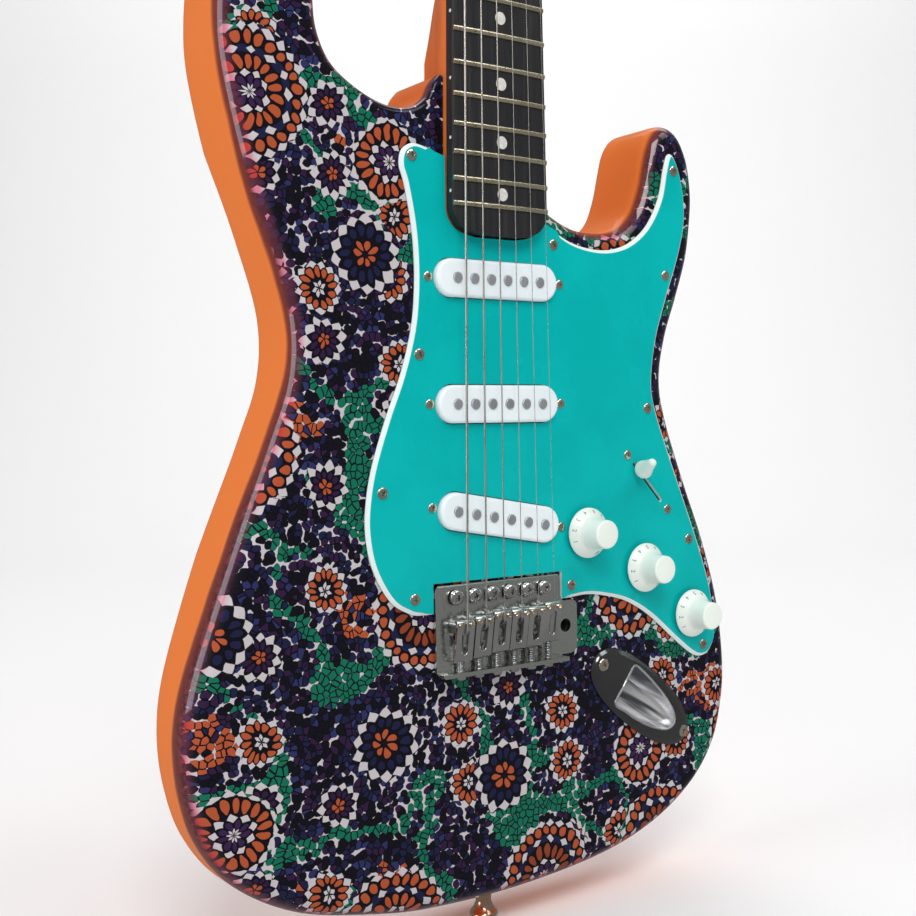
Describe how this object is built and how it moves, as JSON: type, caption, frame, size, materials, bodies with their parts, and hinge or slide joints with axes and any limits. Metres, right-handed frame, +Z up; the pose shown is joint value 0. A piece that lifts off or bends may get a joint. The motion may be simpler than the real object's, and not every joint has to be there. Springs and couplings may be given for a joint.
{
  "type": "electric guitar",
  "caption": "Solid-body electric guitar with a bolt-on neck, a bevelled pickguard with pickups and knobs, a sloping jack plate, side tuners and a tremolo bridge.",
  "frame": {"origin": "on the outer face of the tail strap button, on the centre line of the strings and neck", "axes": "+Z runs up the neck from the tail to the headstock, the face of the guitar looks along -Y, and +X is the side of the knobs"},
  "size_m": [0.3175, 0.0669, 0.9865],
  "materials": {
    "print": "gloss",
    "neck_lacquer": "satin",
    "fretboard_wood": "satin",
    "bone": "satin",
    "guard_plastic": "satin",
    "white_plastic": "satin",
    "mint_plastic": "satin",
    "chrome": "polished",
    "steel": "satin",
    "string_steel": "polished",
    "bronze": "polished",
    "cast": "satin"
  },
  "bodies": {
    "guitar": {"back_cover": "white_plastic", "body": "print", "fretboard": "fretboard_wood", "jack_plate": "chrome", "jack_socket": "steel", "neck": "neck_lacquer", "neck_plate": "steel", "nut": "bone", "pickguard": "guard_plastic", "pot_middle_tone": "steel", "pot_neck_tone": "steel", "pot_volume": "steel", "selector_switch": "steel", "spring_claw": "steel", "strap_button_horn": "bronze", "strap_button_tail": "bronze", "string_1": "string_steel", "string_2": "string_steel", "string_3": "string_steel", "string_4": "string_steel", "string_5": "string_steel", "string_6": "string_steel", "string_tree": "chrome", "tremolo_spring_1": "steel", "tremolo_spring_2": "steel", "tremolo_spring_3": "steel", "tuner_housing_1": "chrome", "tuner_housing_2": "chrome", "tuner_housing_3": "chrome", "tuner_housing_4": "chrome", "tuner_housing_5": "chrome", "tuner_housing_6": "chrome"},
    "tuner_button_1": {"tuner_button_1": "chrome"},
    "tuner_post_1": {"tuner_post_1": "chrome"},
    "tuner_button_2": {"tuner_button_2": "chrome"},
    "tuner_post_2": {"tuner_post_2": "chrome"},
    "tuner_button_3": {"tuner_button_3": "chrome"},
    "tuner_post_3": {"tuner_post_3": "chrome"},
    "tuner_button_4": {"tuner_button_4": "chrome"},
    "tuner_post_4": {"tuner_post_4": "chrome"},
    "tuner_button_5": {"tuner_button_5": "chrome"},
    "tuner_post_5": {"tuner_post_5": "chrome"},
    "tuner_button_6": {"tuner_button_6": "chrome"},
    "tuner_post_6": {"tuner_post_6": "chrome"},
    "knob_volume": {"knob_volume": "mint_plastic"},
    "knob_neck_tone": {"knob_neck_tone": "mint_plastic"},
    "knob_middle_tone": {"knob_middle_tone": "mint_plastic"},
    "selector": {"selector_lever": "steel", "selector_tip": "mint_plastic"},
    "tremolo": {"bridge_plate": "chrome", "tremolo_block": "cast"},
    "saddle_1": {"saddle_1": "chrome"},
    "saddle_2": {"saddle_2": "chrome"},
    "saddle_3": {"saddle_3": "chrome"},
    "saddle_4": {"saddle_4": "chrome"},
    "saddle_5": {"saddle_5": "chrome"},
    "saddle_6": {"saddle_6": "chrome"},
    "pickup_neck": {"pickup_neck": "white_plastic"},
    "pickup_middle": {"pickup_middle": "white_plastic"},
    "pickup_bridge": {"pickup_bridge": "white_plastic"}
  },
  "joints": [
    {"name": "tuner_button_1_turn", "type": "hinge", "parent": "guitar", "child": "tuner_button_1", "pos_m": [-0.02673, -0.0022, 0.83712], "axis": [-0.9683, 0, 0.2496], "continuous": true},
    {"name": "tuner_post_1_turn", "type": "hinge", "parent": "guitar", "child": "tuner_post_1", "pos_m": [-0.02043, -0.0215, 0.8355], "axis": [0, -1, 0], "continuous": true},
    {"name": "tuner_button_2_turn", "type": "hinge", "parent": "guitar", "child": "tuner_button_2", "pos_m": [-0.01958, -0.0022, 0.86262], "axis": [-0.9683, 0, 0.2496], "continuous": true},
    {"name": "tuner_post_2_turn", "type": "hinge", "parent": "guitar", "child": "tuner_post_2", "pos_m": [-0.01328, -0.0215, 0.861], "axis": [0, -1, 0], "continuous": true},
    {"name": "tuner_button_3_turn", "type": "hinge", "parent": "guitar", "child": "tuner_button_3", "pos_m": [-0.0127, -0.0022, 0.88812], "axis": [-0.9683, 0, 0.2496], "continuous": true},
    {"name": "tuner_post_3_turn", "type": "hinge", "parent": "guitar", "child": "tuner_post_3", "pos_m": [-0.0064, -0.0215, 0.8865], "axis": [0, -1, 0], "continuous": true},
    {"name": "tuner_button_4_turn", "type": "hinge", "parent": "guitar", "child": "tuner_button_4", "pos_m": [-0.0061, -0.0022, 0.91362], "axis": [-0.9683, 0, 0.2496], "continuous": true},
    {"name": "tuner_post_4_turn", "type": "hinge", "parent": "guitar", "child": "tuner_post_4", "pos_m": [0.00019, -0.0215, 0.912], "axis": [0, -1, 0], "continuous": true},
    {"name": "tuner_button_5_turn", "type": "hinge", "parent": "guitar", "child": "tuner_button_5", "pos_m": [0.00016, -0.0022, 0.93912], "axis": [-0.9683, 0, 0.2496], "continuous": true},
    {"name": "tuner_post_5_turn", "type": "hinge", "parent": "guitar", "child": "tuner_post_5", "pos_m": [0.00645, -0.0215, 0.9375], "axis": [0, -1, 0], "continuous": true},
    {"name": "tuner_button_6_turn", "type": "hinge", "parent": "guitar", "child": "tuner_button_6", "pos_m": [0.00614, -0.0022, 0.96462], "axis": [-0.9683, 0, 0.2496], "continuous": true},
    {"name": "tuner_post_6_turn", "type": "hinge", "parent": "guitar", "child": "tuner_post_6", "pos_m": [0.01243, -0.0215, 0.963], "axis": [0, -1, 0], "continuous": true},
    {"name": "knob_volume_turn", "type": "hinge", "parent": "guitar", "child": "knob_volume", "pos_m": [0.054, -0.0241, 0.1893], "axis": [0, -1, 0], "range_deg": [0, 270]},
    {"name": "knob_neck_tone_turn", "type": "hinge", "parent": "guitar", "child": "knob_neck_tone", "pos_m": [0.093, -0.0241, 0.1689], "axis": [0, -1, 0], "range_deg": [0, 270]},
    {"name": "knob_middle_tone_turn", "type": "hinge", "parent": "guitar", "child": "knob_middle_tone", "pos_m": [0.127, -0.0241, 0.1418], "axis": [0, -1, 0], "range_deg": [0, 270]},
    {"name": "selector_swing", "type": "hinge", "parent": "guitar", "child": "selector", "pos_m": [0.0969, -0.0095, 0.2129], "axis": [0.7302, 0, 0.6832], "range_deg": [0, 54]},
    {"name": "tremolo_tilt", "type": "hinge", "parent": "guitar", "child": "tremolo", "pos_m": [0, -0.0218, 0.164], "axis": [-1, 0, 0], "range_deg": [0, 8], "stiffness_Nm_per_rad": 30, "springref_deg": -5.73, "deforming": ["tremolo_spring_1", "tremolo_spring_2", "tremolo_spring_3", "string_1", "string_2", "string_3", "string_4", "string_5", "string_6"]},
    {"name": "saddle_1_slide", "type": "slide", "parent": "tremolo", "child": "saddle_1", "axis": [0, 0, 1], "range_m": [-0.003, 0.003]},
    {"name": "saddle_2_slide", "type": "slide", "parent": "tremolo", "child": "saddle_2", "axis": [0, 0, 1], "range_m": [-0.003, 0.003]},
    {"name": "saddle_3_slide", "type": "slide", "parent": "tremolo", "child": "saddle_3", "axis": [0, 0, 1], "range_m": [-0.003, 0.003]},
    {"name": "saddle_4_slide", "type": "slide", "parent": "tremolo", "child": "saddle_4", "axis": [0, 0, 1], "range_m": [-0.003, 0.003]},
    {"name": "saddle_5_slide", "type": "slide", "parent": "tremolo", "child": "saddle_5", "axis": [0, 0, 1], "range_m": [-0.003, 0.003]},
    {"name": "saddle_6_slide", "type": "slide", "parent": "tremolo", "child": "saddle_6", "axis": [0, 0, 1], "range_m": [-0.003, 0.003]},
    {"name": "pickup_neck_height", "type": "slide", "parent": "guitar", "child": "pickup_neck", "axis": [0, -1, 0], "range_m": [-0.002, 0.002]},
    {"name": "pickup_middle_height", "type": "slide", "parent": "guitar", "child": "pickup_middle", "axis": [0, -1, 0], "range_m": [-0.002, 0.002]},
    {"name": "pickup_bridge_height", "type": "slide", "parent": "guitar", "child": "pickup_bridge", "axis": [0, -1, 0], "range_m": [-0.002, 0.002]}
  ],
  "couplings": [
    {"joint": "tuner_post_1_turn", "follows": "tuner_button_1_turn", "ratio": 0.066667},
    {"joint": "tuner_post_2_turn", "follows": "tuner_button_2_turn", "ratio": 0.066667},
    {"joint": "tuner_post_3_turn", "follows": "tuner_button_3_turn", "ratio": 0.066667},
    {"joint": "tuner_post_4_turn", "follows": "tuner_button_4_turn", "ratio": 0.066667},
    {"joint": "tuner_post_5_turn", "follows": "tuner_button_5_turn", "ratio": 0.066667},
    {"joint": "tuner_post_6_turn", "follows": "tuner_button_6_turn", "ratio": 0.066667}
  ]
}
